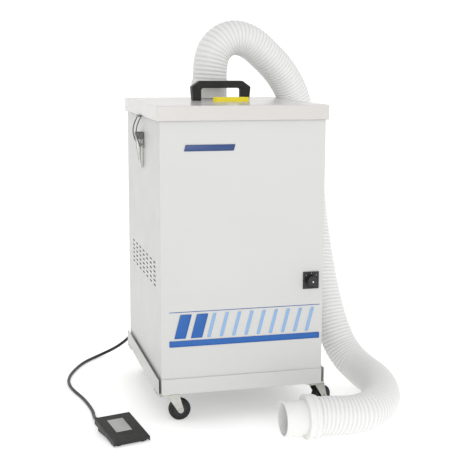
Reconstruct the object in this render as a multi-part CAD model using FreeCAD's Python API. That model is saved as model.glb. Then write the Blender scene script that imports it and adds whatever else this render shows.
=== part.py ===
import FreeCAD, Part
import math
import os

# Portable dust separator: a sheet steel cabinet on a caster tray, with a latched lid, a corrugated
# suction hose and a foot pedal on a cord. Millimetres. +Z is up, -Y is the front, and the origin is
# on the floor under the middle of the cabinet.

Vector = FreeCAD.Vector

# cabinet
bodyWidth = 380.0
bodyDepth = 444.0
bodyHeight = 645.5
sheet = 1.5
# tray under the cabinet
traySheet = 2.0
trayFlange = 36.0
traySideGap = 6.0
trayFrontGap = 0.5
# lid
lidOverhang = 6.0
lidSkirt = 33.0
# vent slots in each side
slotColumns = 7
slotRows = 6
slotLength = 26.0
slotHeight = 4.0
slotPitchY = 48.7
slotPitchZ = 10.5
slotMiddleZ = 337.5
# inlet collar and the cuff that joins the hose to it
collarY = 110.0
collarRadius = 35.0
collarWall = 2.5
collarHeight = 41.0
collarFlangeRadius = 47.0
collarFlange = 2.0
cuffRadius = 46.0
cuffHeight = 16.0
cuffLap = 10.0
# lid handle
handleX = 8.0
handleY = 32.0
handleWidth = 146.0
handleHeight = 47.0
handleDepth = 26.0
handleBar = 17.0
handleLeg = 23.0
handleShoulderX = 20.0
handleShoulderZ = 14.0
handleTaper = 3.0
handleCorner = 6.0
# yellow tag lying on the lid
tagX = 19.0
tagY = -30.0
tagLength = 88.0
tagWidth = 22.0
tagThickness = 8.0
# toggle latch, one on each side, with its heights measured down from the lid's lower edge
latchY = -10.0
latchPlateWidth = 34.0
latchPlateHeight = 36.0
latchPlateDrop = 56.0
latchPlateSheet = 2.0
earGap = 24.0
earSheet = 2.0
earReach = 6.0
pivotOut = 11.0
pivotDrop = 48.0
headReach = 6.5
pivotRadius = 2.5
bailPinOut = 10.5
bailPinDrop = 70.0
bailWire = 1.6
bailWidth = 46.0
bailBow = 19.0
bailBowDrop = 38.0
bailCorner = 5.0
pinClearance = 0.05
leverWidth = 21.0
leverTipDrop = 122.0
leverGap = 4.0
keeperSheet = 1.2
keeperWidth = 26.0
keeperHeight = 12.0
barClearance = 0.3
lipClearance = 2.4
lipRise = 2.0
# casters
swivelInsetX = 14.0
swivelInsetY = 32.0
casterTurn = {"front_left": 3.0, "front_right": 26.0, "rear_left": 14.0, "rear_right": -18.0}
casterPlate = 46.0
casterPlateSheet = 2.5
raceRadius = 16.0
raceHeight = 3.5
swivelGap = 0.3
wheelRadius = 25.4
wheelWidth = 20.0
wheelGap = 10.9
casterTrail = 34.0
axleRadius = 3.0
forkSheet = 2.0
forkSideGap = 2.0
crownHeight = 4.0
crownReach = 14.0
crownFront = 17.0
legBack = 2.0
forkBoss = 4.0
axleHead = 2.5
treadRound = 3.0
treadDepth = 7.0
wheelHub = 4.0
wheelRecess = 0.25
# rotary switch on the front
switchInset = 29.6
switchZ = 320.4
switchPlateWidth = 38.0
switchPlateHeight = 40.0
switchPlateDepth = 3.0
knobRadius = 12.0
knobDepth = 13.0
knobGap = 0.3
knobFlutes = 12
knobFluteRadius = 1.6
# foot pedal
pedalOut = 97.0
pedalY = -266.0
pedalTurn = 15.0
pedalWidth = 84.0
pedalLength = 112.0
treadleThickness = 6.0
treadleFrontUnder = 6.0
treadleRise = 20.0
skirtSheet = 2.5
skirtDrop = 8.0
pedalBaseGap = 3.5
pedalBaseInset = 4.0
pedalFoot = 2.0
pedalBaseFront = 6.2
pedalBaseBack = 17.5
hingeY = -44.0
hingeZ = 4.4
hingeRadius = 1.4
labelX = -2.0
labelY = 9.0
labelWidth = 37.0
labelLength = 54.0
labelSheet = 0.8
reliefX = -20.0
reliefLength = 24.0
reliefZ = 12.0
# cord between the cabinet and the pedal
cordRadius = 4.0
glandInset = 40.0
glandRise = 50.0
glandRadius = 11.0
glandNut = 14.0
glandTail = 8.0
# suction hose
hoseRadius = 43.0
ringRadius = 50.0
ringThickness = 8.0
sleeveRadius = 39.0
sleeveWall = 3.0
sleeveLength = 50.0
hoseEndX = 106.0
hoseEndY = -377.0
runShare = 0.45

halfWidth = bodyWidth / 2
halfDepth = bodyDepth / 2
trayUnderside = 2 * wheelRadius + wheelGap + crownHeight + swivelGap + raceHeight + casterPlateSheet
trayFloor = trayUnderside + traySheet
bodyTop = trayFloor + bodyHeight
lidTop = bodyTop + sheet
lidBottom = lidTop - lidSkirt
latchPlateMiddle = lidBottom - latchPlateDrop
pivotZ = lidBottom - pivotDrop
bailPinZ = lidBottom - bailPinDrop
bailBowZ = lidBottom - bailBowDrop
leverTipZ = lidBottom - leverTipDrop
swivelX = halfWidth - swivelInsetX
swivelY = halfDepth - swivelInsetY
switchX = halfWidth - switchInset
pedalX = -halfWidth - pedalOut
glandX = glandInset - halfWidth
glandZ = trayUnderside + glandRise
# both routes were drawn round a cabinet of these sizes, and shift with it when it changes
drawnHalfWidth = 190.0
drawnLidTop = 721.0
drawnGlandZ = 122.0


def write(name, shape):
    shape.exportStep("parts/" + name + ".step")


def box(x0, y0, z0, x1, y1, z1):
    return Part.makeBox(x1 - x0, y1 - y0, z1 - z0, Vector(x0, y0, z0))


def cylinder(radius, start, end):
    axis = end - start
    return Part.makeCylinder(radius, axis.Length, start, axis)


def prism(points, travel):
    face = Part.Face(Part.makePolygon([Vector(*point) for point in points + points[:1]]))
    return face.extrude(Vector(*travel))


def mirrorX(shape):
    return shape.mirror(Vector(0, 0, 0), Vector(1, 0, 0))


def tube(points, radius, cornerReach=math.inf):
    # straight runs joined by tangent arcs, swept with a round section
    edges = []
    radii = []
    start = points[0]
    for before, corner, after in zip(points, points[1:], points[2:]):
        arriving = (before - corner).normalize()
        leaving = (after - corner).normalize()
        halfTurn = (math.pi - arriving.getAngle(leaving)) / 2
        shorter = min((before - corner).Length, (after - corner).Length)
        reach = min(runShare * shorter, cornerReach)
        arcRadius = reach / math.tan(halfTurn)
        inward = (arriving + leaving).normalize()
        first = corner + arriving * reach
        last = corner + leaving * reach
        middle = corner + inward * (arcRadius / math.cos(halfTurn) - arcRadius)
        edges.append(Part.LineSegment(start, first).toShape())
        edges.append(Part.Arc(first, middle, last).toShape())
        radii.append(round(arcRadius))
        start = last
    edges.append(Part.LineSegment(start, points[-1]).toShape())
    path = Part.Wire(edges)
    direction = points[1] - points[0]
    profile = Part.Wire(Part.makeCircle(radius, points[0], direction))
    swept = path.makePipeShell([profile], True, True)
    ideal = math.pi * radius ** 2 * path.Length
    print("arc radii", radii, "length", round(path.Length), "volume ratio", round(swept.Volume / ideal, 4))
    return swept


def frontPanel():
    return box(-halfWidth, -halfDepth, trayFloor, halfWidth, -halfDepth + sheet, bodyTop)


def backPanel():
    return box(-halfWidth, halfDepth - sheet, trayFloor, halfWidth, halfDepth, bodyTop)


def slotCutter(y, z):
    end = (slotLength - slotHeight) / 2
    low = -halfWidth - sheet
    high = -halfWidth + 2 * sheet
    middle = box(low, y - end, z - slotHeight / 2, high, y + end, z + slotHeight / 2)
    for side in (-end, end):
        middle = middle.fuse(cylinder(slotHeight / 2, Vector(low, y + side, z), Vector(high, y + side, z)))
    return middle.removeSplitter()


def leftPanel():
    panel = box(-halfWidth, -halfDepth + sheet, trayFloor, -halfWidth + sheet, halfDepth - sheet, bodyTop)
    cutters = []
    for column in range(slotColumns):
        for row in range(slotRows):
            y = (column - (slotColumns - 1) / 2) * slotPitchY
            z = slotMiddleZ + (row - (slotRows - 1) / 2) * slotPitchZ
            cutters.append(slotCutter(y, z))
    return panel.cut(Part.makeCompound(cutters))


def tray():
    sideOut = halfWidth + traySideGap + traySheet
    frontOut = halfDepth + trayFrontGap + traySheet
    flangeTop = trayUnderside + trayFlange
    shape = box(-sideOut, -halfDepth, trayUnderside, sideOut, halfDepth, trayFloor)
    shape = shape.fuse(box(-halfWidth, -frontOut, trayUnderside, halfWidth, frontOut, trayFloor))
    for side in (-1, 1):
        x = sorted((side * sideOut, side * (sideOut - traySheet)))
        y = sorted((side * frontOut, side * (frontOut - traySheet)))
        shape = shape.fuse(box(x[0], -halfDepth, trayUnderside, x[1], halfDepth, flangeTop))
        shape = shape.fuse(box(-halfWidth, y[0], trayUnderside, halfWidth, y[1], flangeTop))
    return shape.removeSplitter()


def lid():
    outX = halfWidth + lidOverhang
    outY = halfDepth + lidOverhang
    shape = box(-outX, -outY, lidBottom, outX, outY, lidTop)
    hollow = box(-outX + sheet, -outY + sheet, lidBottom - 1, outX - sheet, outY - sheet, bodyTop)
    hole = cylinder(collarRadius - collarWall, Vector(0, collarY, bodyTop - 1), Vector(0, collarY, lidTop + 1))
    return shape.cut(hollow).cut(hole)


def collar():
    base = Vector(0, collarY, lidTop)
    top = base + Vector(0, 0, collarHeight)
    shape = cylinder(collarFlangeRadius, base, base + Vector(0, 0, collarFlange))
    shape = shape.fuse(cylinder(collarRadius, base, top))
    return shape.cut(cylinder(collarRadius - collarWall, base - Vector(0, 0, 1), top + Vector(0, 0, 1)))


def topCuff():
    collarTop = lidTop + collarHeight
    low = Vector(0, collarY, collarTop - cuffLap)
    high = Vector(0, collarY, collarTop - cuffLap + cuffHeight)
    shape = cylinder(cuffRadius, low, high)
    return shape.cut(cylinder(collarRadius + pinClearance, low - Vector(0, 0, 1), Vector(0, collarY, collarTop)))


def handle():
    x0 = handleX - handleWidth / 2
    x1 = handleX + handleWidth / 2
    y0 = handleY - handleDepth / 2
    top = lidTop + handleHeight
    shoulder = top - handleShoulderZ
    outer = [(x0 + handleTaper, y0, lidTop), (x0, y0, shoulder), (x0 + handleShoulderX, y0, top),
             (x1 - handleShoulderX, y0, top), (x1, y0, shoulder), (x1 - handleTaper, y0, lidTop)]
    shape = prism(outer, (0, handleDepth, 0))
    gap = box(x0 + handleLeg, y0 - 1, lidTop - 1, x1 - handleLeg, y0 + handleDepth + 1, top - handleBar)
    inner = [edge for edge in gap.Edges if isUpperAlongY(edge, top - handleBar)]
    return shape.cut(gap.makeFillet(handleCorner, inner))


def isUpperAlongY(edge, z):
    first, last = edge.Vertexes[0].Point, edge.Vertexes[1].Point
    return abs(first.z - z) < 0.01 and abs(last.z - z) < 0.01 and abs(first.y - last.y) > 1


def lidTag():
    straight = (tagLength - tagWidth) / 2
    shape = box(tagX - straight, tagY - tagWidth / 2, lidTop, tagX + straight, tagY + tagWidth / 2,
                lidTop + tagThickness)
    for side in (-1, 1):
        end = Vector(tagX + side * straight, tagY, lidTop)
        shape = shape.fuse(cylinder(tagWidth / 2, end, end + Vector(0, 0, tagThickness)))
    return shape.removeSplitter()


def latchBase():
    wall = -halfWidth
    low = latchPlateMiddle - latchPlateHeight / 2
    high = latchPlateMiddle + latchPlateHeight / 2
    edge = latchY - latchPlateWidth / 2
    shape = box(wall - latchPlateSheet, edge, low, wall, edge + latchPlateWidth, high)
    for side in (-1, 1):
        y = sorted((latchY + side * earGap / 2, latchY + side * (earGap / 2 + earSheet)))
        shape = shape.fuse(box(wall - pivotOut - earReach, y[0], pivotZ - earReach, wall, y[1], high))
    pin = Vector(wall - pivotOut, latchY, pivotZ)
    reach = Vector(0, earGap / 2 + earSheet + 2, 0)
    return shape.fuse(cylinder(pivotRadius, pin - reach, pin + reach))


def latchLever():
    # a bent bar: round the pivot at its head, thinning to a curled tip
    outline = [(pivotOut - 5, pivotZ + headReach), (pivotOut + 5, pivotZ + headReach), (pivotOut + 6, pivotZ),
               (bailPinOut + 5, bailPinZ - 6), (pivotOut - 0.5, leverTipZ + 16), (leverGap + 2, leverTipZ),
               (leverGap, leverTipZ + 2), (leverGap + 2.5, leverTipZ + 19), (pivotOut - 4.5, bailPinZ - 6),
               (pivotOut - 5, pivotZ - 8)]
    edge = latchY - leverWidth / 2
    shape = prism([(-halfWidth - out, edge, z) for out, z in outline], (0, leverWidth, 0))
    reach = Vector(0, leverWidth, 0)
    for out, z, radius in ((pivotOut, pivotZ, pivotRadius), (bailPinOut, bailPinZ, bailWire)):
        pin = Vector(-halfWidth - out, latchY, z)
        shape = shape.cut(cylinder(radius + pinClearance, pin - reach, pin + reach))
    return shape


def barOut():
    # how far the bail's crossbar stands out from the cabinet's side
    return lidOverhang + barClearance + bailWire


def barZ():
    return lidBottom + bailWire


def latchBail():
    half = bailWidth / 2
    leg = [(bailPinOut, leverWidth / 2 - 3, bailPinZ), (bailPinOut, half, bailPinZ), (bailBow, half, bailBowZ),
           (barOut(), half, barZ())]
    back = [Vector(-halfWidth - out, latchY + y, z) for out, y, z in leg]
    front = [Vector(-halfWidth - out, latchY - y, z) for out, y, z in reversed(leg)]
    return tube(back + front, bailWire, bailCorner)


def latchKeeper():
    # a strip inside the lid's skirt, bent out under it into a ledge with a lip
    inside = lidOverhang - sheet - keeperSheet
    ledgeTop = barZ() - bailWire - barClearance
    ledge = ledgeTop - keeperSheet
    lip = barOut() + bailWire + lipClearance
    outline = [(inside, ledge), (lip + keeperSheet, ledge), (lip + keeperSheet, ledgeTop + lipRise),
               (lip, ledgeTop + lipRise), (lip, ledgeTop), (inside + keeperSheet, ledgeTop),
               (inside + keeperSheet, ledgeTop + keeperHeight), (inside, ledgeTop + keeperHeight)]
    edge = latchY - keeperWidth / 2
    return prism([(-halfWidth - out, edge, z) for out, z in outline], (0, keeperWidth, 0))


def swivelPoint(corner):
    y = -swivelY if corner.startswith("front") else swivelY
    x = -swivelX if corner.endswith("left") else swivelX
    return Vector(x, y, 0)


def casterPlates():
    solids = []
    low = trayUnderside - casterPlateSheet
    half = casterPlate / 2
    for corner in casterTurn:
        x, y, z = swivelPoint(corner)
        plate = box(x - half, y - half, low, x + half, y + half, trayUnderside)
        race = cylinder(raceRadius, Vector(x, y, low - raceHeight), Vector(x, y, low))
        solids.append(plate.fuse(race))
    return Part.makeCompound(solids)


def placeCaster(shape, corner):
    # a caster is drawn round its swivel axis, trailing towards +X, and then turned to where it stands
    shape = shape.copy()
    shape.rotate(Vector(0, 0, 0), Vector(0, 0, 1), casterTurn[corner])
    shape.translate(swivelPoint(corner))
    return shape


def casterFork(corner):
    top = trayUnderside - casterPlateSheet - raceHeight - swivelGap
    crown = top - crownHeight
    legIn = wheelWidth / 2 + forkSideGap
    legOut = legIn + forkSheet
    front = crownReach + crownFront
    boss = axleRadius + forkBoss
    shape = cylinder(raceRadius, Vector(0, 0, crown), Vector(0, 0, top))
    shape = shape.fuse(box(-crownReach, -legOut, crown, front, legOut, crown + forkSheet))
    for side in (-1, 1):
        inner = side * legIn
        outline = [(legBack, inner, crown), (front, inner, crown), (casterTrail + boss, inner, wheelRadius),
                   (casterTrail - boss * 0.7, inner, wheelRadius - boss * 0.7)]
        shape = shape.fuse(prism(outline, (0, side * forkSheet, 0)))
        face = Vector(casterTrail, inner, wheelRadius)
        shape = shape.fuse(cylinder(boss, face, face + Vector(0, side * forkSheet, 0)))
    hole = Vector(casterTrail, legOut + 1, wheelRadius)
    shape = shape.cut(cylinder(axleRadius + pinClearance, hole - Vector(0, 2 * legOut + 2, 0), hole))
    return placeCaster(shape.removeSplitter(), corner)


def casterAxle(corner):
    legOut = wheelWidth / 2 + forkSideGap + forkSheet
    middle = Vector(casterTrail, 0, wheelRadius)
    shape = cylinder(axleRadius, middle - Vector(0, legOut, 0), middle + Vector(0, legOut, 0))
    for side in (-1, 1):
        face = middle + Vector(0, side * legOut, 0)
        shape = shape.fuse(cylinder(axleRadius + axleHead, face, face + Vector(0, side * axleHead, 0)))
    return placeCaster(shape, corner)


def casterWheel(corner):
    middle = Vector(casterTrail, 0, wheelRadius)
    half = Vector(0, wheelWidth / 2, 0)
    shape = cylinder(wheelRadius, middle - half, middle + half)
    rim = [edge for edge in shape.Edges if abs(edge.BoundBox.XLength - 2 * wheelRadius) < 0.1 and edge.isClosed()]
    shape = shape.makeFillet(treadRound, rim)
    for side in (-1, 1):
        face = middle + half * side
        deep = half * (side * wheelRecess)
        recess = cylinder(wheelRadius - treadDepth, face, face - deep)
        shape = shape.cut(recess.cut(cylinder(axleRadius + wheelHub, face, face - deep)))
    bore = cylinder(axleRadius + pinClearance, middle - half * 2, middle + half * 2)
    return placeCaster(shape.cut(bore), corner)


def switchPlate():
    return box(switchX - switchPlateWidth / 2, -halfDepth - switchPlateDepth, switchZ - switchPlateHeight / 2,
               switchX + switchPlateWidth / 2, -halfDepth, switchZ + switchPlateHeight / 2)


def switchKnob():
    back = Vector(switchX, -halfDepth - switchPlateDepth - knobGap, switchZ)
    shape = cylinder(knobRadius, back, back - Vector(0, knobDepth, 0))
    flutes = []
    for index in range(knobFlutes):
        angle = 2 * math.pi * index / knobFlutes
        place = back + Vector(math.cos(angle), 0, math.sin(angle)) * (knobRadius + knobFluteRadius / 3)
        flutes.append(cylinder(knobFluteRadius, place - Vector(0, 3, 0), place - Vector(0, knobDepth + 1, 0)))
    return shape.cut(Part.makeCompound(flutes))


def placePedal(shape):
    shape = shape.copy()
    shape.rotate(Vector(0, 0, 0), Vector(0, 0, 1), pedalTurn)
    shape.translate(Vector(pedalX, pedalY, 0))
    return shape


def treadleUnder(y):
    return treadleFrontUnder + (y + pedalLength / 2) * treadleRise / pedalLength


def pedalTreadle():
    half = pedalLength / 2
    wide = pedalWidth / 2
    plate = [(-half, treadleUnder(-half)), (half, treadleUnder(half)),
             (half, treadleUnder(half) + treadleThickness), (-half, treadleUnder(-half) + treadleThickness)]
    shape = prism([(-wide, y, z) for y, z in plate], (pedalWidth, 0, 0))
    skirt = [(-half, treadleUnder(-half)), (-half, 2.6), (hingeY + 5, 2.2), (hingeY + 9, 4.5),
             (half, treadleUnder(half) - skirtDrop), (half, treadleUnder(half))]
    for side in (-1, 1):
        x = min(side * wide, side * (wide - skirtSheet))
        shape = shape.fuse(prism([(x, y, z) for y, z in skirt], (skirtSheet, 0, 0)))
    hinge = cylinder(hingeRadius + pinClearance, Vector(-wide - 1, hingeY, hingeZ), Vector(wide + 1, hingeY, hingeZ))
    return placePedal(shape.removeSplitter().cut(hinge))


def pedalBase():
    wide = pedalWidth / 2 - skirtSheet - pedalBaseGap
    front = -pedalLength / 2 + pedalBaseInset
    back = pedalLength / 2 - pedalBaseInset
    outline = [(front, pedalFoot), (back, pedalFoot), (back, pedalBaseBack), (front, pedalBaseFront)]
    shape = prism([(-wide, y, z) for y, z in outline], (2 * wide, 0, 0))
    hinge = cylinder(hingeRadius, Vector(-wide - 1, hingeY, hingeZ), Vector(wide + 1, hingeY, hingeZ))
    return placePedal(shape.cut(hinge))


def pedalPin():
    wide = pedalWidth / 2
    return placePedal(cylinder(hingeRadius, Vector(-wide, hingeY, hingeZ), Vector(wide, hingeY, hingeZ)))


def pedalFeet():
    wide = pedalWidth / 2 - skirtSheet - pedalBaseGap - 8
    long = pedalLength / 2 - pedalBaseInset - 8
    feet = []
    for x in (-wide, wide):
        for y in (-long, long):
            feet.append(cylinder(6, Vector(x, y, 0), Vector(x, y, pedalFoot)))
    return placePedal(Part.makeCompound(feet))


def pedalLabel():
    slope = math.degrees(math.atan2(treadleRise, pedalLength))
    shape = box(-labelWidth / 2, -labelLength / 2, 0, labelWidth / 2, labelLength / 2, labelSheet)
    shape.rotate(Vector(0, 0, 0), Vector(1, 0, 0), slope)
    shape.translate(Vector(labelX, labelY, treadleUnder(labelY) + treadleThickness))
    return placePedal(shape)


def pedalRelief():
    back = pedalLength / 2 - pedalBaseInset
    cone = Part.makeCone(cordRadius + 1.2, cordRadius + 0.6, reliefLength, Vector(reliefX, back, reliefZ),
                         Vector(0, 1, 0))
    return placePedal(cone)


def cordGland():
    start = Vector(glandX, halfDepth, glandZ)
    nut = cylinder(glandRadius, start, start + Vector(0, glandNut, 0))
    tail = Part.makeCone(glandRadius * 0.8, cordRadius + 1, glandTail, start + Vector(0, glandNut, 0),
                         Vector(0, 1, 0))
    return nut.fuse(tail)


def pedalPoint(x, y, z):
    turn = FreeCAD.Rotation(Vector(0, 0, 1), pedalTurn)
    return turn.multVec(Vector(x, y, z)) + Vector(pedalX, pedalY, 0)


def cordPoint(x, y, z):
    # moves out with the cabinet's side, and its upper end rises with the gland
    return Vector(x - (halfWidth - drawnHalfWidth), y, z + (glandZ - drawnGlandZ) * (z - cordRadius) / drawnGlandZ)


def pedalCord():
    back = pedalLength / 2 - pedalBaseInset
    reliefEnd = pedalPoint(reliefX, back + reliefLength, reliefZ)
    outward = pedalPoint(reliefX, back + reliefLength + 30, reliefZ)
    route = [(-154, 322, 96), (-168, 346, 58), (-204, 360, 24), (-254, 355, 4.6), (-306, 300, 4), (-342, 228, 4),
             (-363, 162, 4), (-366, 106, 4), (-358, 56, 4), (-345, 8, 4), (-336, -46, 4), (-331, -100, 4),
             (-333, -140, 4)]
    start = Vector(glandX, halfDepth + glandNut + glandTail, glandZ)
    points = [start, start + Vector(0, 42, 0)] + [cordPoint(*point) for point in route] + [outward, reliefEnd]
    return tube(points, cordRadius)


def hosePoint(x, y, z):
    # the arch rises with the lid and moves out with the cabinet's side, and the stretch on the floor stays down
    return Vector(x + (halfWidth - drawnHalfWidth) * min(1, x / drawnHalfWidth), y,
                  z + (lidTop - drawnLidTop) * min(1, max(0, z - ringRadius) / (drawnLidTop - ringRadius)))


def hoseTube():
    cuffTop = lidTop + collarHeight - cuffLap + cuffHeight
    route = [(0, collarY, 812), (17, 115, 852), (58, 126, 876), (110, 141, 866), (160, 158, 828), (212, 182, 782),
             (260, 208, 708), (272, 190, 590), (278, 150, 480), (281, 122, 385), (285, 90, 300), (291, 50, 212),
             (306, 14, 130), (328, -18, 72), (354, -72, 43.5), (358, -150, 43), (340, -238, 43), (304, -312, 43),
             (250, -360, 43), (200, -373, 43.5), (150, hoseEndY, ringRadius)]
    points = [Vector(0, collarY, cuffTop)] + [hosePoint(*point) for point in route]
    return tube(points + [Vector(hoseEndX, hoseEndY, ringRadius)], hoseRadius)


def hoseRing():
    start = Vector(hoseEndX, hoseEndY, ringRadius)
    end = start - Vector(ringThickness, 0, 0)
    return cylinder(ringRadius, start, end).cut(cylinder(sleeveRadius - sleeveWall, start, end))


def hoseSleeve():
    start = Vector(hoseEndX - ringThickness, hoseEndY, ringRadius)
    end = start - Vector(sleeveLength, 0, 0)
    return cylinder(sleeveRadius, start, end).cut(cylinder(sleeveRadius - sleeveWall, start, end))


os.makedirs("parts", exist_ok=True)
write("front_panel", frontPanel())
write("back_panel", backPanel())
write("left_panel", leftPanel())
write("right_panel", mirrorX(leftPanel()))
write("base_tray", tray())
write("lid", lid())
write("inlet_collar", collar())
write("lid_handle", handle())
write("lid_tag", lidTag())
for part, make in (("base", latchBase), ("lever", latchLever), ("bail", latchBail), ("keeper", latchKeeper)):
    write("left_latch_" + part, make())
    write("right_latch_" + part, mirrorX(make()))
write("caster_plates", casterPlates())
for corner in casterTurn:
    write(corner + "_caster_fork", casterFork(corner))
    write(corner + "_caster_axle", casterAxle(corner))
    write(corner + "_caster_wheel", casterWheel(corner))
write("switch_plate", switchPlate())
write("switch_knob", switchKnob())
write("pedal_base", pedalBase())
write("pedal_treadle", pedalTreadle())
write("pedal_pin", pedalPin())
write("pedal_feet", pedalFeet())
write("pedal_label", pedalLabel())
write("pedal_strain_relief", pedalRelief())
write("cord_gland", cordGland())
write("pedal_cord", pedalCord())
write("hose_top_cuff", topCuff())
write("hose", hoseTube())
write("hose_end_ring", hoseRing())
write("hose_end_sleeve", hoseSleeve())
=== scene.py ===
import bpy
import math
from mathutils import Matrix, Vector


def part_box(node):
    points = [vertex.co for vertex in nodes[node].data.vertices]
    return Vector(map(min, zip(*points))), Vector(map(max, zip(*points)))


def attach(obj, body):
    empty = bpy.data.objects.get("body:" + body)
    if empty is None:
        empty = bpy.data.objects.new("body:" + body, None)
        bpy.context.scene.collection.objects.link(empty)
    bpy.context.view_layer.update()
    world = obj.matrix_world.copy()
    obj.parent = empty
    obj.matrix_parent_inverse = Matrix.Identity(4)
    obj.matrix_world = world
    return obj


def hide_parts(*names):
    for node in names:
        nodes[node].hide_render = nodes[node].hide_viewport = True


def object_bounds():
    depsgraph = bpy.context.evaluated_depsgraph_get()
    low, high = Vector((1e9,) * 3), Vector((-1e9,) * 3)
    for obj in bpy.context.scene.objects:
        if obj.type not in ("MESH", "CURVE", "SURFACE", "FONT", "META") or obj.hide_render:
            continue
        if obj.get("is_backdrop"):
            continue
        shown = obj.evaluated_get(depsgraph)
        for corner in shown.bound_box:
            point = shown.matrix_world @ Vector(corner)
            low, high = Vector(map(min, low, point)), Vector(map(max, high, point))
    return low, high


# Looks for a portable dust separator: a powder coated cabinet on casters, with a corrugated suction
# hose and a foot pedal on a cord. Metres, in the CAD frame: +Z is up and -Y is the front.

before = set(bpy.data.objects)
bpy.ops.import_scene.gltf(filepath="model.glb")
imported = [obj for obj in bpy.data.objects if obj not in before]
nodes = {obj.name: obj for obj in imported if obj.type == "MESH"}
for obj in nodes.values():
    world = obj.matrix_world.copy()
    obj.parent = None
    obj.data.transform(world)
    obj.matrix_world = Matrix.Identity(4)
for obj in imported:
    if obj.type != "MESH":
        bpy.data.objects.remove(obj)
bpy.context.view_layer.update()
mm = 0.001
print("frame loaded:", len(nodes), "CAD nodes")


def linear(hexColour):
    # an sRGB hex value as linear RGBA, which is what the shaders want
    parts = [int(hexColour[i:i + 2], 16) / 255 for i in (1, 3, 5)]
    return tuple(p / 12.92 if p <= 0.04045 else ((p + 0.055) / 1.055) ** 2.4 for p in parts) + (1.0,)


def addNode(tree, kind, settings=None, links=None):
    # settings go to a socket by number or name, or to the node itself; links are socket: (node, output)
    node = tree.nodes.new(kind)
    for key, value in (settings or {}).items():
        if isinstance(key, str) and hasattr(node, key):
            setattr(node, key, value)
        else:
            node.inputs[key].default_value = value
    for key, (source, output) in (links or {}).items():
        tree.links.new(source.outputs[output], node.inputs[key])
    return node


def onlySelect(piece):
    bpy.ops.object.select_all(action="DESELECT")
    piece.select_set(True)
    bpy.context.view_layer.objects.active = piece


def smooth(piece, degrees=35):
    onlySelect(piece)
    bpy.ops.object.shade_smooth_by_angle(angle=math.radians(degrees))


def paint(piece, material):
    piece.data.materials.clear()
    piece.data.materials.append(material)


def finishPiece(piece, body, material, degrees=35):
    smooth(piece, degrees)
    paint(piece, material)
    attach(piece, body)
    return piece


def spun(name, profile, steps=40):
    # a closed outline of (radius, along) points, spun round the Z axis
    bpy.ops.object.select_all(action="DESELECT")
    bpy.ops.mesh.primitive_circle_add(vertices=len(profile), fill_type="NOTHING")
    piece = bpy.context.object
    piece.name = name
    for vertex, (radius, along) in zip(piece.data.vertices, profile):
        vertex.co = (radius * mm, 0, along * mm)
    bpy.ops.object.mode_set(mode="EDIT")
    bpy.ops.mesh.select_all(action="SELECT")
    bpy.ops.mesh.spin(steps=steps, angle=2 * math.pi, center=(0, 0, 0), axis=(0, 0, 1))
    bpy.ops.mesh.select_all(action="SELECT")
    bpy.ops.mesh.remove_doubles(threshold=1e-6)
    bpy.ops.mesh.delete_loose()
    bpy.ops.mesh.select_all(action="SELECT")
    bpy.ops.mesh.normals_make_consistent(inside=False)
    bpy.ops.object.mode_set(mode="OBJECT")
    return piece


def placed(place, axis=(0, 0, 1), turn=0.0):
    # stands the Z axis along axis, after a turn round it, and moves it to place
    toAxis = Vector((0, 0, 1)).rotation_difference(Vector(axis)).to_matrix().to_4x4()
    return Matrix.Translation(Vector(place)) @ toAxis @ Matrix.Rotation(turn, 4, "Z")


def copies(first, name, matrices):
    # one copy of the mesh at each place, joined as one piece
    made = []
    for matrix in matrices:
        copy = bpy.data.objects.new(name, first.data.copy())
        copy.data.transform(matrix)
        bpy.context.scene.collection.objects.link(copy)
        made.append(copy)
    bpy.data.objects.remove(first)
    bpy.ops.object.select_all(action="DESELECT")
    for copy in made:
        copy.select_set(True)
    bpy.context.view_layer.objects.active = made[0]
    if len(made) > 1:
        bpy.ops.object.join()
    made[0].name = name
    return made[0]


cameraSettings = {
    "place": (-0.5923, -2.3990, 0.8272),
    "right": (0.96710, -0.25436, 0.00458),
    "up": (0.03979, 0.16903, 0.98481),
    "forward": (0.25127, 0.95222, -0.17359),
    "lens": 77.87,
}
bpy.ops.object.camera_add(location=cameraSettings["place"])
camera = bpy.context.object
camera.name = "studioCamera"
back = -Vector(cameraSettings["forward"])
turned = Matrix((cameraSettings["right"], cameraSettings["up"], back)).transposed()
camera.rotation_euler = turned.to_euler()
camera.data.lens = cameraSettings["lens"]
camera.data.sensor_width = 36
camera.data.clip_end = 100
bpy.context.scene.camera = camera
print("camera placed")


def routeCurve(name, points):
    # an open NURBS line with the route's points as its control points
    curve = bpy.data.curves.new(name, "CURVE")
    curve.dimensions = "3D"
    spline = curve.splines.new("NURBS")
    spline.points.add(len(points) - 1)
    for point, (x, y, z) in zip(spline.points, points):
        point.co = (x * mm, y * mm, z * mm, 1)
    spline.order_u = 3
    spline.use_endpoint_u = True
    curve.resolution_u = 24
    line = bpy.data.objects.new(name, curve)
    bpy.context.scene.collection.objects.link(line)
    return line


def linePoints(name, route):
    # the spline's own points, as Blender draws them
    line = routeCurve(name, route)
    bpy.context.view_layer.update()
    drawn = bpy.data.meshes.new_from_object(line)
    points = [vertex.co.copy() for vertex in drawn.vertices]
    bpy.data.objects.remove(line)
    bpy.data.meshes.remove(drawn)
    return points


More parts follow.
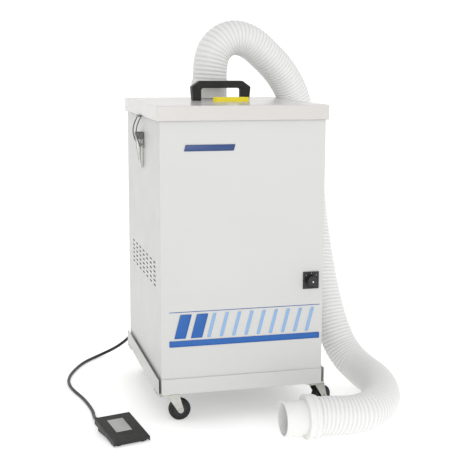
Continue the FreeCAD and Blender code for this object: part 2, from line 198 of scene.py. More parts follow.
cordSettings = {
    "diameter": 0.008,
    "length": 0.82,
    "route": [(-150, 244, 122), (-150, 286, 122), (-154, 322, 96), (-168, 346, 58), (-204, 360, 24),
              (-254, 355, 4.6), (-306, 300, 4), (-342, 228, 4), (-363, 162, 4), (-366, 106, 4),
              (-358, 56, 4), (-345, 8, 4), (-336, -46, 4), (-331, -100, 4), (-333, -140, 4),
              (-333.75, -168.79, 12), (-325.99, -197.77, 12)],
}
pedalCord = routeCurve("pedalCord", cordSettings["route"])
pedalCord.data.bevel_depth = cordSettings["diameter"] / 2
pedalCord.data.bevel_resolution = 5
pedalCord.data.use_fill_caps = True
onlySelect(pedalCord)
bpy.ops.object.convert(target="MESH")
cordPath = [tuple(point) for point in linePoints("cordLine", cordSettings["route"])]

hoseSettings = {
    "diameter": 0.086,
    "length": 1.62,
    "ribPitch": 9.3,      # mm from rib to rib
    "ribDepth": 2.3,
    "stepsPerRib": 8,
    "sides": 44,
    "mouthRadius": 36.5,
    "mouthDepth": 90.0,
    "mouthShade": 0.3,     # how much painted shade greys the wall inside the open end, from 0 to 1
    "route": [(0, 110, 768), (0, 110, 812), (17, 115, 852), (58, 126, 876), (110, 141, 866),
              (160, 158, 828), (212, 182, 782), (260, 208, 708), (272, 190, 590), (278, 150, 480),
              (281, 122, 385), (285, 90, 300), (291, 50, 212), (306, 14, 130), (328, -18, 72),
              (354, -72, 43.5), (358, -150, 43), (340, -238, 43), (304, -312, 43), (250, -360, 43),
              (200, -373, 43.5), (150, -377, 50), (106, -377, 50)],
}


def alongLine(points, step):
    # the same line at even steps, with how far along it each step is
    places, distances = [points[0].copy()], [0.0]
    travelled, due = 0.0, step
    for a, b in zip(points, points[1:]):
        run = (b - a).length
        while run > 0 and due <= travelled + run:
            places.append(a.lerp(b, (due - travelled) / run))
            distances.append(due)
            due += step
        travelled += run
    if (places[-1] - points[-1]).length > step * 0.3:
        places.append(points[-1].copy())
        distances.append(travelled)
    return places, distances


def ribbedTube(name, settings):
    step = settings["ribPitch"] * mm / settings["stepsPerRib"]
    centres, distances = alongLine(linePoints("hoseLine", settings["route"]), step)
    sides, pitch = settings["sides"], settings["ribPitch"] * mm
    directions = [(centres[min(i + 1, len(centres) - 1)] - centres[max(i - 1, 0)]).normalized()
                  for i in range(len(centres))]
    sideways = Vector((1, 0, 0))
    vertices, faces, shades = [], [], []

    def addRing(centre, direction, sideways, radiusAt, shadeAt):
        other = direction.cross(sideways)
        for k in range(sides):
            turn = 2 * math.pi * k / sides
            radius = radiusAt(turn)
            vertices.append(centre + (sideways * math.cos(turn) + other * math.sin(turn)) * radius)
            shades.append(shadeAt(turn))

    for centre, direction, distance in zip(centres, directions, distances):
        sideways = (sideways - direction * sideways.dot(direction)).normalized()

        def rise(turn, distance=distance):
            # the wire climbs one pitch for each turn round the hose: 1 on a rib's crown and 0 in a valley
            phase = distance / pitch + turn / (2 * math.pi)
            return abs(math.sin(math.pi * phase)) ** 0.75

        addRing(centre, direction, sideways,
                lambda turn: settings["diameter"] / 2 - settings["ribDepth"] * mm * (1 - rise(turn)),
                lambda turn: 1 - rise(turn))
    outerRings = len(centres)
    # the wall turns in at the open end and runs back inside
    lastSideways = sideways
    back = [0, 5, 10, 15, 20, 30, 40, 50, 60, 75, settings["mouthDepth"]]
    for depth in back:
        index = max(0, len(centres) - 1 - round(depth * mm / step))
        direction = directions[index]
        lastSideways = (lastSideways - direction * lastSideways.dot(direction)).normalized()
        addRing(centres[index], direction, lastSideways,
                lambda turn: settings["mouthRadius"] * mm,
                lambda turn: settings["mouthShade"])
    rings = outerRings + len(back)
    for ring in range(rings - 1):
        for k in range(sides):
            a, b = ring * sides + k, ring * sides + (k + 1) % sides
            faces.append((a, b, b + sides, a + sides))
    faces.append(tuple(range(sides))[::-1])
    faces.append(tuple(range((rings - 1) * sides, rings * sides)))
    mesh = bpy.data.meshes.new(name)
    mesh.from_pydata([tuple(v) for v in vertices], [], faces)
    # painted shade, kept on the mesh: 1 down in each rib valley, and mouthShade inside the open end
    valley = mesh.attributes.new("valley", "FLOAT", "POINT")
    valley.data.foreach_set("value", shades)
    mesh.shade_smooth()
    piece = bpy.data.objects.new(name, mesh)
    bpy.context.scene.collection.objects.link(piece)
    return piece, [tuple(c) for c in centres]


hoseTube, hosePath = ribbedTube("hoseTube", hoseSettings)
print("cords laid:", len(hoseTube.data.polygons), "faces in the hose")


def makeFinish(name, finish):
    # colour drifts with broad clouds, roughness with smears, and fine grain gives the bump
    material = bpy.data.materials.new(name)
    material.use_nodes = True
    tree = material.node_tree
    shader = tree.nodes["Principled BSDF"]
    shader.inputs["Metallic"].default_value = finish.get("metallic", 0.0)
    shader.inputs["Coat Weight"].default_value = finish.get("coat", 0.0)
    shader.inputs["Coat Roughness"].default_value = finish.get("coatRoughness", 0.1)
    if finish.get("metallic", 0.0) == 0:
        shader.inputs["IOR"].default_value = finish.get("ior", 1.5)
    shader.inputs["Sheen Weight"].default_value = finish.get("sheen", 0.0)
    where = addNode(tree, "ShaderNodeTexCoord")
    stretched = addNode(tree, "ShaderNodeMapping", {"Scale": finish.get("stretch", (1, 1, 1)),
                                                    "Rotation": finish.get("turn", (0, 0, 0))},
                        {"Vector": (where, "Object")})
    clouds = addNode(tree, "ShaderNodeTexNoise", {"Scale": 1000 / finish["cloudMm"], "Detail": 3.0},
                     {"Vector": (stretched, "Vector")})
    colour = addNode(tree, "ShaderNodeMix", {"data_type": "RGBA", 6: linear(finish["dark"]),
                                             7: linear(finish["light"])}, {0: (clouds, 0)})
    smears = addNode(tree, "ShaderNodeTexNoise", {"Scale": 1000 / finish["smearMm"], "Detail": 4.0},
                     {"Vector": (stretched, "Vector")})
    low, high = finish["roughness"]
    rough = addNode(tree, "ShaderNodeMapRange", {1: 0.3, 2: 0.7, 3: low, 4: high}, {0: (smears, 0)})
    if finish.get("cells"):
        grain = addNode(tree, "ShaderNodeTexVoronoi", {"Scale": 1000 / finish["grainMm"]},
                        {"Vector": (stretched, "Vector")})
    else:
        grain = addNode(tree, "ShaderNodeTexNoise", {"Scale": 1000 / finish["grainMm"], "Detail": 2.0},
                        {"Vector": (stretched, "Vector")})
    bumpSettings = {"Strength": finish.get("bump", 0.3), "Distance": finish["grainDeepMm"] * mm}
    bump = addNode(tree, "ShaderNodeBump", bumpSettings, {"Height": (grain, 0)})
    tree.links.new(colour.outputs[2], shader.inputs["Base Color"])
    tree.links.new(rough.outputs[0], shader.inputs["Roughness"])
    tree.links.new(bump.outputs[0], shader.inputs["Normal"])
    return material, tree, shader, colour, where


# polyester powder coat on folded steel: light grey, satin, with a faint orange peel about 1.5 mm across
powderCoat = makeFinish("powderCoatGrey", {
    "dark": "#c8c8c6", "light": "#cdcdcb", "cloudMm": 180, "smearMm": 60, "roughness": (0.36, 0.46),
    "grainMm": 1.5, "grainDeepMm": 0.03, "bump": 0.25})[0]
# the tray has the same coat, and its faces that turn down are painted dark grey as painted shade under the
# tray
trayCoat, trayTree, trayShader, trayColour, trayWhere = makeFinish("powderCoatTray", {
    "dark": "#c8c8c6", "light": "#cdcdcb", "cloudMm": 180, "smearMm": 60, "roughness": (0.36, 0.46),
    "grainMm": 1.5, "grainDeepMm": 0.03, "bump": 0.25})
trayFacing = addNode(trayTree, "ShaderNodeSeparateXYZ", links={0: (trayWhere, "Normal")})
undersideShadeMask = addNode(trayTree, "ShaderNodeMapRange", {1: -0.5, 2: -0.9, 3: 0.0, 4: 1.0}, {0: (trayFacing, 2)})
# painted shade: dark grey is mixed in where the tray's faces point down
undersideShadeColour = addNode(trayTree, "ShaderNodeMix", {"data_type": "RGBA", 7: linear("#454543")},
                       {0: (undersideShadeMask, 0), 6: (trayColour, 2)})
trayTree.links.new(undersideShadeColour.outputs[2], trayShader.inputs["Base Color"])
# the lid's top coat is glossier, so what stands on it is mirrored softly
glossCoat = makeFinish("powderCoatGlossLid", {
    "dark": "#c9c6c3", "light": "#cdcac7", "cloudMm": 160, "smearMm": 80, "roughness": (0.2, 0.27),
    "grainMm": 2.0, "grainDeepMm": 0.012, "bump": 0.15, "coat": 0.12, "coatRoughness": 0.08})[0]
# zinc plated pressed steel: dull silver with patches a few mm across
zincPlate = makeFinish("zincPlatedSteel", {
    "dark": "#b4b4ae", "light": "#cfcec8", "cloudMm": 9, "smearMm": 6, "roughness": (0.28, 0.42),
    "metallic": 1.0,
    "grainMm": 1.2, "grainDeepMm": 0.02, "bump": 0.25, "cells": True})[0]
# stainless spring wire and hinge steel: brighter, drawn along its length
drawnSteel = makeFinish("drawnStainlessSteel", {
    "dark": "#a9a9a5", "light": "#c4c3be", "cloudMm": 12, "smearMm": 8, "roughness": (0.2, 0.3),
    "metallic": 1.0,
    "grainMm": 0.8, "grainDeepMm": 0.01, "bump": 0.2, "stretch": (4, 4, 0.5)})[0]
# hardened steel of the toggle latches: darker, oiled, with fine drawing lines
latchSteel = makeFinish("oiledLatchSteel", {
    "dark": "#565958", "light": "#7d807e", "cloudMm": 7, "smearMm": 5, "roughness": (0.22, 0.36),
    "metallic": 1.0,
    "grainMm": 0.8, "grainDeepMm": 0.015, "bump": 0.25, "stretch": (3, 3, 0.6)})[0]
# glass filled polyamide, spark eroded in the mould: near black, matte, with a fine even grain
polyamide = makeFinish("polyamideHandleGrain", {
    "dark": "#0b0b0a", "light": "#111110", "cloudMm": 40, "smearMm": 15, "roughness": (0.48, 0.62),
    "grainMm": 0.9, "grainDeepMm": 0.06, "bump": 0.35, "ior": 1.45})[0]
# black ABS with a light satin, as on switch knobs
absBlack = makeFinish("absBlackSatin", {
    "dark": "#0c0c0d", "light": "#131314", "cloudMm": 20, "smearMm": 10, "roughness": (0.28, 0.4),
    "grainMm": 0.7, "grainDeepMm": 0.03, "bump": 0.2, "ior": 1.54})[0]
# the pedal's moulded ABS has a coarser leather grain for the shoe
pedalAbs = makeFinish("absPedalGrain", {
    "dark": "#100e0d", "light": "#181513", "cloudMm": 30, "smearMm": 12, "roughness": (0.42, 0.56),
    "grainMm": 1.6, "grainDeepMm": 0.12, "bump": 0.5, "cells": True, "ior": 1.54})[0]
# polypropylene, dyed yellow in the mass: waxy, semi-gloss
yellowPolypropylene = makeFinish("polypropyleneYellow", {
    "dark": "#f1dd18", "light": "#f8ea28", "cloudMm": 25, "smearMm": 12, "roughness": (0.3, 0.4),
    "grainMm": 1.0, "grainDeepMm": 0.02, "bump": 0.2})[0]
# moulded white polypropylene cuffs: slightly warm white, semi-gloss
whiteMoulded = makeFinish("polypropyleneWhite", {
    "dark": "#e4e4e2", "light": "#e9e9e7", "cloudMm": 50, "smearMm": 25, "roughness": (0.32, 0.42),
    "grainMm": 1.2, "grainDeepMm": 0.02, "bump": 0.2})[0]
# natural rubber tyres and feet: charcoal and very matte, with a bloom
tyreRubber = makeFinish("tyreRubber", {
    "dark": "#0d0d0d", "light": "#151514", "cloudMm": 10, "smearMm": 5, "roughness": (0.6, 0.75),
    "grainMm": 0.8, "grainDeepMm": 0.05, "bump": 0.4, "ior": 1.52})[0]
# extruded PVC jacket: black, satin, with faint drag lines
cordPvc = makeFinish("pvcCordJacket", {
    "dark": "#100f0e", "light": "#171615", "cloudMm": 15, "smearMm": 8, "roughness": (0.38, 0.5),
    "grainMm": 1.0, "grainDeepMm": 0.03, "bump": 0.25})[0]
# cast vinyl film on the front, plain blue
blueFilm = makeFinish("vinylFilmBlue", {
    "dark": "#0d55a0", "light": "#135dab", "cloudMm": 60, "smearMm": 30, "roughness": (0.3, 0.38),
    "grainMm": 1.5, "grainDeepMm": 0.01, "bump": 0.1})[0]
# the same film in the pale and the navy shade
paleFilm = makeFinish("vinylFilmPaleBlue", {
    "dark": "#86add6", "light": "#90b5dc", "cloudMm": 60, "smearMm": 30, "roughness": (0.3, 0.38),
    "grainMm": 1.5, "grainDeepMm": 0.01, "bump": 0.1})[0]
navyFilm = makeFinish("vinylFilmNavy", {
    "dark": "#233f74", "light": "#2a477e", "cloudMm": 60, "smearMm": 30, "roughness": (0.3, 0.38),
    "grainMm": 1.5, "grainDeepMm": 0.01, "bump": 0.1})[0]
# white marking paint pressed into the knob
markPaint = makeFinish("markingPaint", {
    "dark": "#d8d8d4", "light": "#e6e6e2", "cloudMm": 6, "smearMm": 3, "roughness": (0.4, 0.5),
    "grainMm": 0.5, "grainDeepMm": 0.02, "bump": 0.2})[0]
# brushed foil label, left blank
labelFoil = makeFinish("brushedLabelFoil", {
    "dark": "#a8a8a6", "light": "#bcbcba", "cloudMm": 8, "smearMm": 5, "roughness": (0.36, 0.48),
    "grainMm": 0.5, "grainDeepMm": 0.01, "bump": 0.15, "stretch": (0.3, 3, 3), "turn": (0, 0, -0.2618)})[0]

# soft PVC hose wall over spring wire: milky white, with painted shade greying it down in the valleys
hoseFinish = makeFinish("pvcHoseWhite", {
    "dark": "#e7e7e6", "light": "#ececeb", "cloudMm": 70, "smearMm": 30, "roughness": (0.4, 0.52),
    "grainMm": 1.4, "grainDeepMm": 0.03, "bump": 0.2, "ior": 1.53})
hoseVinyl, hoseTree, hoseShader, hoseColour = hoseFinish[:4]
# painted shade: the mesh's valley attribute mixes grey into the hose in the rib valleys and inside the open
# end
valley = addNode(hoseTree, "ShaderNodeAttribute", {"attribute_name": "valley"})
valleyPaintedShade = addNode(hoseTree, "ShaderNodeMix", {"data_type": "RGBA", 7: linear("#d3d4d3")},
                       {0: (valley, "Fac"), 6: (hoseColour, 2)})
hoseTree.links.new(valleyPaintedShade.outputs[2], hoseShader.inputs["Base Color"])
print("materials made:", len(bpy.data.materials))


def eased(name, width, segments=2, degrees=32):
    # the CAD's sharp edges get the small radius that folding or moulding leaves
    node = nodes[name]
    weld = node.modifiers.new("weld", "WELD")
    weld.merge_threshold = 0.00001
    bevel = node.modifiers.new("ease", "BEVEL")
    bevel.width = width * mm
    bevel.segments = segments
    bevel.limit_method = "ANGLE"
    bevel.angle_limit = math.radians(degrees)
    bevel.harden_normals = False


casterCorners = ("front_left", "front_right", "rear_left", "rear_right")
casterForks = [corner + "_caster_fork" for corner in casterCorners]
keptNodes = [
    (powderCoat, ["front_panel", "back_panel", "left_panel", "right_panel", "inlet_collar"]),
    (trayCoat, ["base_tray"]),
    (glossCoat, ["lid"]),
    (latchSteel, ["left_latch_base", "right_latch_base", "left_latch_keeper", "right_latch_keeper"]),
    (zincPlate, ["caster_plates"] + casterForks),
    (drawnSteel, [corner + "_caster_axle" for corner in casterCorners] + ["pedal_pin"]),
    (polyamide, ["lid_handle"]),
    (absBlack, ["switch_plate", "switch_knob"]),
    (pedalAbs, ["pedal_base", "pedal_treadle"]),
    (whiteMoulded, ["hose_end_sleeve"]),
    (tyreRubber, ["pedal_feet"]),
    (labelFoil, ["pedal_label"]),
]
for material, names in keptNodes:
    for name in names:
        paint(nodes[name], material)
# (bevel width in mm, segments)
easedNodes = {
    "lid": (1.3, 3), "base_tray": (0.7, 2), "front_panel": (0.7, 2), "lid_handle": (1.8, 3),
    "switch_plate": (0.8, 2), "pedal_treadle": (1.3, 3), "pedal_base": (0.8, 2),
    "hose_end_sleeve": (0.7, 3), "pedal_label": (0.3, 2), "left_latch_base": (0.4, 2),
    "right_latch_base": (0.4, 2), "caster_plates": (0.5, 2),
}
easedNodes.update({fork: (0.5, 2) for fork in casterForks})
for name, (width, segments) in easedNodes.items():
    eased(name, width, segments)
print("CAD nodes painted and their edges eased")

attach(pedalCord, "cabinet")
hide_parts("pedal_cord")
paint(pedalCord, cordPvc)
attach(hoseTube, "cabinet")
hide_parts("hose")
paint(hoseTube, hoseVinyl)


# the moulded tag on the lid. Its two bevels fold over each other, so this mesh isn't closed and dips
# into the lid: the CAD's own lid_tag is the sound shape to go back to
tagSettings = {"roundSteps": 9, "crown": 3.7, "crownSteps": 6}
tagLow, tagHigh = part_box("lid_tag")
tagSize = tagHigh - tagLow
bpy.ops.object.select_all(action="DESELECT")
bpy.ops.mesh.primitive_cube_add(size=1, location=(0, 0, 0))
lidTag = bpy.context.object
lidTag.name = "lidTag"
lidTag.data.transform(Matrix.Translation((tagLow + tagHigh) / 2) @ Matrix.Diagonal(tagSize.to_4d()))
for edge in lidTag.data.edges:
    a, b = (lidTag.data.vertices[v].co for v in edge.vertices)
    edge.select = abs(a.z - b.z) > tagSize.z / 2
bpy.ops.object.mode_set(mode="EDIT")
bpy.ops.mesh.select_mode(type="EDGE")
bpy.ops.mesh.bevel(offset=tagSize.y * 0.499, segments=tagSettings["roundSteps"], affect="EDGES")
bpy.ops.mesh.select_mode(type="VERT")
bpy.ops.object.mode_set(mode="OBJECT")
tagEase = lidTag.modifiers.new("crown", "BEVEL")
tagEase.width = tagSettings["crown"] * mm
tagEase.segments = tagSettings["crownSteps"]
tagEase.angle_limit = math.radians(50)
bpy.ops.object.modifier_apply(modifier="crown")
finishPiece(lidTag, "cabinet", yellowPolypropylene, 30)
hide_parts("lid_tag")
print("tag made")


cuffSettings = {
    # (radius, height over the lid's top face) round the collar, with a bead where the hose begins
    "top": [(35.2, 3), (41.5, 3), (42.6, 4.2), (42.6, 27), (43.4, 29), (45.4, 30.5), (46, 33), (46, 42),
            (45.2, 46), (44, 47.6), (42, 47.6), (41, 41), (35.2, 41)],
    # (radius, distance towards the open end) over the hose's last ribs: a bead, a waist and the stop flange
    "end": [(43.7, 0), (45.4, 0), (46.4, 1.4), (46.6, 5), (48.4, 6.4), (49.3, 9), (48.4, 11.6), (46.8, 13),
            (46.8, 18.4), (49.2, 19.2), (50, 20.6), (50, 26.2), (49.3, 27.6), (47.8, 28), (36.1, 28),
            (36.1, 20.2), (43.7, 20.2)],
}
hoseTopCuff = spun("hoseTopCuff", cuffSettings["top"], 72)
hoseTopCuff.data.transform(placed((0, 0.110, 0.721)))
finishPiece(hoseTopCuff, "cabinet", whiteMoulded, 28)
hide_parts("hose_top_cuff")
hoseEndCuff = spun("hoseEndCuff", cuffSettings["end"], 72)
hoseEndCuff.data.transform(placed((0.126, -0.377, 0.050), (-1, 0, 0)))
finishPiece(hoseEndCuff, "cabinet", whiteMoulded, 28)
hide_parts("hose_end_ring")
print("hose cuffs made")


wheelSettings = {
    # (radius, along the axle): bore, hub, dished web, and a rounded tyre with two fine grooves
    "outline": [(3.1, -10), (6.4, -10), (7.4, -9.3), (8.0, -7.8), (15.8, -7.4), (17.2, -8.6), (18.4, -9.5),
                (21.8, -9.5), (23.8, -8.6), (25.0, -6.6), (25.4, -4.2), (25.4, -3.6), (24.7, -3.2),
                (25.4, -2.8), (25.4, 2.8), (24.7, 3.2), (25.4, 3.6), (25.4, 4.2), (25.0, 6.6), (23.8, 8.6),
                (21.8, 9.5), (18.4, 9.5), (17.2, 8.6), (15.8, 7.4), (8.0, 7.8), (7.4, 9.3), (6.4, 10),
                (3.1, 10)],
    "tyreFrom": 17.8,      # mm from the axle, where the rubber starts
    "turns": {"front_left": 3.0, "front_right": 26.0, "rear_left": 14.0, "rear_right": -18.0},
    "boltReach": 17.0,     # mm from the swivel to each plate bolt, both ways
}


def hexBolt(name, acrossCorners, headHeight):
    # a washer with a hexagon head on it, pointing up
    washer = spun(name, [(0, 0), (acrossCorners * 0.62, 0), (acrossCorners * 0.62, 0.8), (0, 0.8)], 28)
    head = spun(name + "Head", [(0, 0.7), (acrossCorners / 2, 0.7), (acrossCorners / 2, headHeight - 0.5),
                                (acrossCorners / 2 - 0.6, headHeight), (0, headHeight)], 6)
    onlySelect(washer)
    head.select_set(True)
    bpy.ops.object.join()
    return washer


kingNut = hexBolt("kingNut", 9.0, 3.4)
swivelPoints = {}
for corner, turn in wheelSettings["turns"].items():
    low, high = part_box(corner + "_caster_wheel")
    middle = (low + high) / 2
    angle = math.radians(turn)
    swivelPoints[corner] = middle - Vector((math.cos(angle), math.sin(angle), 0)) * 34 * mm
    wheel = spun(corner + "_tyre", wheelSettings["outline"], 56)
    wheel.data.transform(placed(middle, (-math.sin(angle), math.cos(angle), 0)))
    wheel.data.materials.append(tyreRubber)
    wheel.data.materials.append(absBlack)
    axle = Vector((-math.sin(angle), math.cos(angle), 0))
    for face in wheel.data.polygons:
        arm = face.center - middle
        face.material_index = 0 if (arm - axle * arm.dot(axle)).length > wheelSettings["tyreFrom"] * mm else 1
    smooth(wheel, 30)
    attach(wheel, corner + "_wheel")
    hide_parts(corner + "_caster_wheel")
    crownUnder = Vector((swivelPoints[corner].x, swivelPoints[corner].y, 0.0617))
    nut = copies(kingNut.copy(), corner + "_kingNut", [placed(crownUnder, (0, 0, -1))])
    finishPiece(nut, corner + "_caster", drawnSteel, 30)
bpy.data.objects.remove(kingNut)
boltReaches = (-wheelSettings["boltReach"], wheelSettings["boltReach"])
boltPlaces = [placed(point.xy.to_3d() + Vector((dx, dy, 69.5)) * mm, (0, 0, -1))
              for point in swivelPoints.values() for dx in boltReaches for dy in boltReaches]
plateBolts = copies(hexBolt("plateBolt", 8.0, 3.0), "plateBolts", boltPlaces)
finishPiece(plateBolts, "cabinet", drawnSteel, 30)
print("casters made")


latchSettings = {
    # lever outline: (out from the cabinet's side, height), a bent bar with a curled tip
    "lever": [(6, 646.5), (16, 646.5), (17, 640), (15.5, 612), (10.5, 582), (6, 566), (4, 568), (6.5, 585),
              (6.5, 612), (6, 632)],
    "leverWidth": 21.0, "rim": 2.2, "trough": 2.2,
    # one leg of the wire bail: (out, along, height) from inside the lever to the middle of the crossbar
    "bail": [(10.5, 7.5, 618), (10.5, 19, 618), (10.6, 23, 618.6), (12.5, 23, 624), (17.5, 23, 636),
             (20.2, 23, 650), (18.6, 23, 664), (13.4, 23, 677), (9.2, 23, 685), (7.9, 23, 689.6),
             (7.9, 18.5, 689.6)],
    "wire": 1.4,
    "middle": -10.0,
}


def latchLever(name, side):
    outline = [(side * (190 + out), z) for out, z in latchSettings["lever"]]
    half = latchSettings["leverWidth"] / 2
    bpy.ops.object.select_all(action="DESELECT")
    bpy.ops.mesh.primitive_circle_add(vertices=len(outline), fill_type="NGON")
    lever = bpy.context.object
    lever.name = name
    for vertex, (x, z) in zip(lever.data.vertices, outline):
        vertex.co = (x * mm, (latchSettings["middle"] - half) * mm, z * mm)
    bpy.ops.object.mode_set(mode="EDIT")
    bpy.ops.mesh.select_all(action="SELECT")
    bpy.ops.mesh.extrude_region_move(TRANSFORM_OT_translate={"value": (0, 2 * half * mm, 0)})
    bpy.ops.mesh.select_all(action="SELECT")
    bpy.ops.mesh.normals_make_consistent(inside=False)
    bpy.ops.mesh.select_all(action="DESELECT")
    bpy.ops.object.mode_set(mode="OBJECT")
    # the two long outer faces are sunk between rims, so the lever is a channel
    for face in lever.data.polygons:
        face.select = face.normal.x * side > 0.8 and face.center.z < 0.640 and face.area > 0.0004
    bpy.ops.object.mode_set(mode="EDIT")
    bpy.ops.mesh.select_mode(type="FACE")
    bpy.ops.mesh.inset(thickness=latchSettings["rim"] * mm)
    bpy.ops.transform.translate(value=(-side * latchSettings["trough"] * mm, 0, 0))
    bpy.ops.mesh.select_mode(type="VERT")
    bpy.ops.object.mode_set(mode="OBJECT")
    onlySelect(lever)
    bevel = lever.modifiers.new("ease", "BEVEL")
    bevel.width = 0.45 * mm
    bevel.segments = 2
    bevel.angle_limit = math.radians(35)
    bpy.ops.object.modifier_apply(modifier="ease")
    return lever


def latchBail(name, side):
    leg = [(side * (190 + out), y, z) for out, y, z in latchSettings["bail"]]
    points = [(x, latchSettings["middle"] + y, z) for x, y, z in leg]
    points += [(x, latchSettings["middle"] - y, z) for x, y, z in reversed(leg)]
    bail = routeCurve(name, points)
    bail.data.bevel_depth = latchSettings["wire"] * mm
    bail.data.bevel_resolution = 4
    bail.data.use_fill_caps = True
    bail.data.resolution_u = 8
    return bail


rivet = [(0, 0), (3.2, 0), (3.2, 0.4), (2.7, 1.2), (1.6, 1.7), (0, 1.9)]
for sideName, side in (("left", -1), ("right", 1)):
    lever = latchLever(sideName + "Lever", side)
    finishPiece(lever, sideName + "_latch_lever", zincPlate, 30)
    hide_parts(sideName + "_latch_lever")
    bail = latchBail(sideName + "Bail", side)
    paint(bail, latchSteel)
    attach(bail, sideName + "_latch_bail")
    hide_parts(sideName + "_latch_bail")
    places = [placed((side * 192 * mm, (latchSettings["middle"] + y) * mm, 619.5 * mm), (side, 0, 0))
              for y in (-13.6, 13.6)]
    rivets = copies(spun("rivet", rivet, 24), sideName + "LatchRivets", places)
    finishPiece(rivets, "cabinet", drawnSteel, 40)
print("latches made")


screwSettings = {
    "pan": [(0, 1.3), (0.9, 1.3), (1.5, 2.3), (2.6, 1.9), (3.3, 1.0), (3.5, 0), (0, 0)],
    "edgeX": (-178, 178), "edgeZ": (130, 320, 510, 672),    # up both edges of the back panel
    "middleZ": (130, 672),
    "backY": 222,
}
backSpots = [(x, z) for x in screwSettings["edgeX"] for z in screwSettings["edgeZ"]]
backSpots += [(0, z) for z in screwSettings["middleZ"]]
backPlaces = [placed((x * mm, screwSettings["backY"] * mm, z * mm), (0, 1, 0)) for x, z in backSpots]
backScrews = copies(spun("panScrew", screwSettings["pan"], 24), "backScrews", backPlaces)
finishPiece(backScrews, "cabinet", drawnSteel, 40)
print("screws made")


filmSettings = {
    "thick": 0.25, "slant": 0.26,      # sideways lean for each mm of height
    "line": (-171, 183, 261.2, 262.6),
    "bar": (-171, 183, 182, 196),
    "wide": [(-160, 26), (-122, 26)],                               # (left edge, width) of the heavy stripes
    "narrow": [(-84 + 29 * k, 7) for k in range(9)],                # and of the light ones
    "stripeZ": (201, 256),
    "plate": (-136, -24, 622, 636),                                 # a blank bar high on the left
}


def filmStrip(name, x0, x1, z0, z1, slant, material):
    # a thin strip on the front panel with its corners rounded
    bpy.ops.object.select_all(action="DESELECT")
    bpy.ops.mesh.primitive_cube_add(size=1, location=(0, 0, 0))
    strip = bpy.context.object
    strip.name = name
    lean = slant * (z1 - z0)
    for vertex in strip.data.vertices:
        high = vertex.co.z > 0
        x = (x1 if vertex.co.x > 0 else x0) + (lean if high else 0)
        y = -222 - (filmSettings["thick"] if vertex.co.y < 0 else 0)
        vertex.co = (x * mm, y * mm, (z1 if high else z0) * mm)
    bpy.ops.object.mode_set(mode="EDIT")
    bpy.ops.mesh.select_all(action="DESELECT")
    bpy.ops.object.mode_set(mode="OBJECT")
    for edge in strip.data.edges:
        a, b = (strip.data.vertices[k].co for k in edge.vertices)
        edge.select = abs(a.y - b.y) > 0.0001
    bpy.ops.object.mode_set(mode="EDIT")
    bpy.ops.mesh.bevel(offset=min(1.2, (z1 - z0) * 0.3) * mm, segments=3)
    bpy.ops.object.mode_set(mode="OBJECT")
    paint(strip, material)
    return strip


strips = [filmStrip("filmLine", *filmSettings["line"], 0, blueFilm),
          filmStrip("filmBar", *filmSettings["bar"], 0, blueFilm)]
z0, z1 = filmSettings["stripeZ"]
strips += [filmStrip("filmWide", x, x + width, z0, z1, filmSettings["slant"], blueFilm)
           for x, width in filmSettings["wide"]]
strips += [filmStrip("filmNarrow", x, x + width, z0, z1, filmSettings["slant"], paleFilm)
           for x, width in filmSettings["narrow"]]
strips.append(filmStrip("filmPlate", *filmSettings["plate"], filmSettings["slant"], navyFilm))
onlySelect(strips[0])
for strip in strips:
    strip.select_set(True)
bpy.ops.object.join()
frontFilm = strips[0]
frontFilm.name = "frontFilm"
smooth(frontFilm, 30)
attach(frontFilm, "cabinet")
print("front film laid")


switchSettings = {
    "centre": (160.4, 320.4),
    "rim": [(15.4, 0), (18.2, 0), (18.2, 0.7), (17.4, 1.2), (16.2, 1.2), (15.4, 0.6)],
    "dot": [(0, 0), (1.7, 0), (1.7, 0.25), (1.2, 0.5), (0, 0.6)],
    "dotOffset": (0.8, -1.5),
    "marks": (-45, 0, 45),    # degrees around the knob
    "markReach": 16.8,
    "rimY": -225, "dotY": -238.3, "markY": -226.2,
}
switchX, switchZ = switchSettings["centre"]
switchRim = spun("switchRim", switchSettings["rim"], 56)
switchRim.data.transform(placed((switchX * mm, switchSettings["rimY"] * mm, switchZ * mm), (0, -1, 0)))
finishPiece(switchRim, "cabinet", absBlack, 30)
knobDot = spun("knobDot", switchSettings["dot"], 24)
dotX, dotZ = switchSettings["dotOffset"]
dotPlace = ((switchX + dotX) * mm, switchSettings["dotY"] * mm, (switchZ + dotZ) * mm)
knobDot.data.transform(placed(dotPlace, (0, -1, 0)))
finishPiece(knobDot, "knob", markPaint, 30)
markPlaces = []
for degrees in switchSettings["marks"]:
    turn = math.radians(degrees)
    markX = switchX + switchSettings["markReach"] * math.sin(turn)
    markZ = switchZ + switchSettings["markReach"] * math.cos(turn)
    markPlaces.append(placed((markX * mm, switchSettings["markY"] * mm, markZ * mm), (0, -1, 0)))
markOutline = [(0, 0), (0.8, 0), (0.8, 0.15), (0.5, 0.3), (0, 0.3)]
switchMarks = copies(spun("switchMark", markOutline, 16), "switchMarks", markPlaces)
finishPiece(switchMarks, "cabinet", markPaint, 30)
print("switch marked")


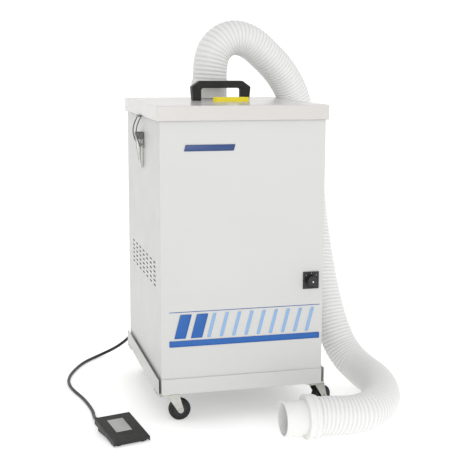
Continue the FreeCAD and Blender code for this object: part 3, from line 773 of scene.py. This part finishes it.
reliefSettings = {
    # (radius, along): a ribbed sleeve that thins towards the cord
    "outline": [(0, 0), (6.4, 0), (6.4, 3), (5.0, 3.4), (5.0, 4.8), (6.1, 5.2), (6.1, 7.4), (4.9, 7.8),
                (4.9, 9.2), (5.9, 9.6), (5.9, 11.8), (4.8, 12.2), (4.8, 13.6), (5.6, 14), (5.6, 16.2),
                (4.7, 16.6), (4.7, 18), (5.3, 18.4), (5.3, 20.6), (4.5, 21), (4.4, 24), (0, 24)],
    "place": (-319.78, -220.95, 12), "axis": (-0.2588, 0.9659, 0),
}
reliefSleeve = spun("reliefSleeve", reliefSettings["outline"], 32)
reliefSleeve.data.transform(placed(Vector(reliefSettings["place"]) * mm, reliefSettings["axis"]))
finishPiece(reliefSleeve, "cabinet", cordPvc, 30)
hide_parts("pedal_strain_relief")
glandSettings = {"collar": [(0, 0), (10.6, 0), (10.6, 2.6), (9.4, 3.4), (8.8, 12), (9.6, 12.6), (9.6, 15),
                            (8.6, 18), (6.4, 20.4), (5.0, 21.2), (4.9, 22), (0, 22)],
                 "hexagon": [(0, 3.4), (10.4, 3.4), (11, 4.2), (11, 11.2), (10.4, 12), (0, 12)],
                 "place": (-0.150, 0.222, 0.122)}
glandNut = spun("glandNut", glandSettings["collar"], 36)
hexagon = spun("glandHexagon", glandSettings["hexagon"], 6)
onlySelect(glandNut)
hexagon.select_set(True)
bpy.ops.object.join()
glandNut.data.transform(placed(glandSettings["place"], (0, 1, 0)))
finishPiece(glandNut, "cabinet", absBlack, 30)
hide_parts("cord_gland")
print("cord ends made")


studioSettings = {
    "floor": 60.0,
    "floorGlow": 0.36,        # the lit table under the paper, which keeps the floor near white
    "horizonLight": 0.80,     # strength of the white room at eye level
    "zenithLight": 0.74,
    "backdropLight": 0.30,    # what the white backdrop adds behind the object      # and straight above
    "keyPower": 24.0, "keyPlace": (-0.3, -3.3, 1.3), "keySize": 1.7,
    "cardPower": 4.0, "cardPlace": (2.4, -1.4, 1.2), "cardSize": 1.4,
}
bpy.ops.object.select_all(action="DESELECT")
bpy.ops.mesh.primitive_plane_add(size=studioSettings["floor"], location=(0, 0, 0))
floor = bpy.context.object
floor.name = "studioFloor"
floorFinish = makeFinish("matteFloorPaper", {
    "dark": "#f8f8f7", "light": "#fbfbfa", "cloudMm": 900, "smearMm": 400, "roughness": (0.6, 0.7),
    "grainMm": 4.0, "grainDeepMm": 0.02, "bump": 0.1})
floorPaper, floorShader = floorFinish[0], floorFinish[2]
floorShader.inputs["Emission Color"].default_value = (1, 1, 1, 1)
floorShader.inputs["Emission Strength"].default_value = studioSettings["floorGlow"]
paint(floor, floorPaper)
floor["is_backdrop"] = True
# a white room that is bright near the horizon, so light reaches in under the cabinet
world = bpy.data.worlds.new("studioWorld")
bpy.context.scene.world = world
world.use_nodes = True
room = world.node_tree
skyWhere = addNode(room, "ShaderNodeTexCoord")
skyParts = addNode(room, "ShaderNodeSeparateXYZ", links={0: (skyWhere, "Generated")})
skyLight = addNode(room, "ShaderNodeMapRange", {1: 0.0, 2: 1.0, 3: studioSettings["horizonLight"],
                                                4: studioSettings["zenithLight"]}, {0: (skyParts, 2)})
backLight = addNode(room, "ShaderNodeMapRange", {1: 0.1, 2: 0.9, 3: 0.0, 4: studioSettings["backdropLight"]},
                    {0: (skyParts, 1)})
skySum = addNode(room, "ShaderNodeMath", {"operation": "ADD"}, {0: (skyLight, 0), 1: (backLight, 0)})
skyPath = addNode(room, "ShaderNodeLightPath")
skyStrength = addNode(room, "ShaderNodeMix", {3: 1.1}, {0: (skyPath, 0), 2: (skySum, 0)})
room.nodes["Background"].inputs["Color"].default_value = (1, 1, 1, 1)
room.links.new(skyStrength.outputs[0], room.nodes["Background"].inputs["Strength"])
for lightName in ("key", "card"):
    place = Vector(studioSettings[lightName + "Place"])
    bpy.ops.object.light_add(type="AREA", location=place)
    softBox = bpy.context.object
    softBox.name = lightName + "SoftBox"
    softBox.data.energy = studioSettings[lightName + "Power"]
    softBox.data.size = studioSettings[lightName + "Size"]
    softBox.rotation_euler = (Vector((0.05, 0, 0.35)) - place).to_track_quat("-Z", "Y").to_euler()
bpy.context.scene.view_settings.view_transform = "Standard"
print("floor and light set")

low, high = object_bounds()
